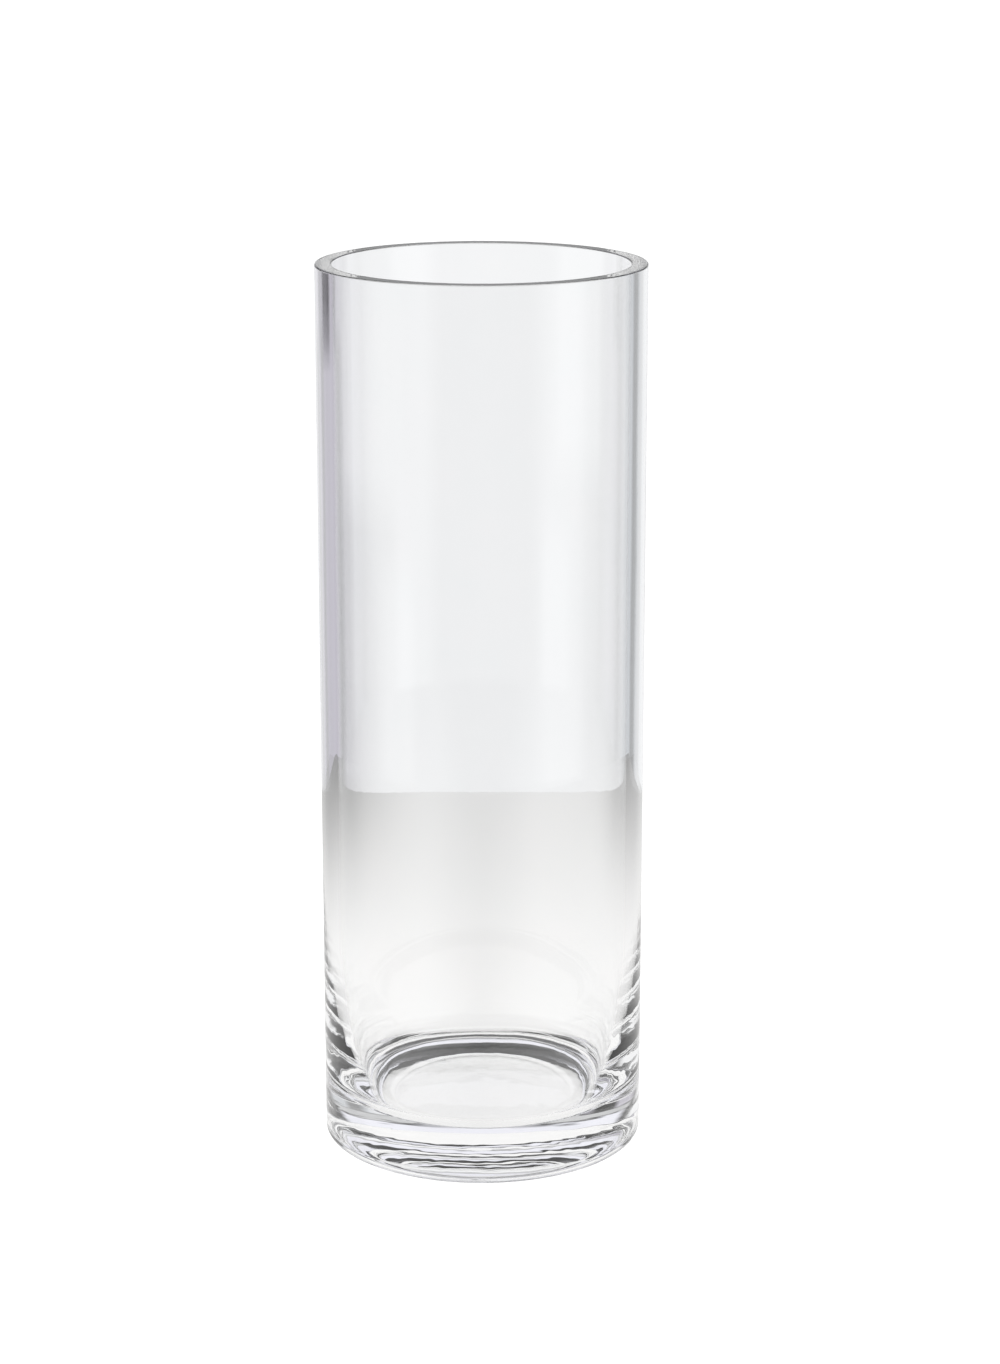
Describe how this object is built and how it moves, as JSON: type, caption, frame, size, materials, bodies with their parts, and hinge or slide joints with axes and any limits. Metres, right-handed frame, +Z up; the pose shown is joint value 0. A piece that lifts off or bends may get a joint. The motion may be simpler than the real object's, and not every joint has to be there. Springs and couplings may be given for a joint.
{
  "type": "glass cylinder vase",
  "caption": "Tall straight cylinder vase of clear glass with a thick heavy base, a wall that thickens towards the rounded inner corner and a flat polished rim, for holding cut flowers in water.",
  "frame": {"origin": "on the vase's axis, in the plane of the ring under the base that it stands on", "axes": "+Z up along the vase's axis, towards the open mouth; the vase is round, so X and Y are any two directions across it"},
  "size_m": [0.0906, 0.0906, 0.25],
  "materials": {
    "clear_glass": "fire-polished, clear and smooth"
  },
  "bodies": {
    "root": {"glass_vase": "clear_glass"}
  },
  "joints": []
}
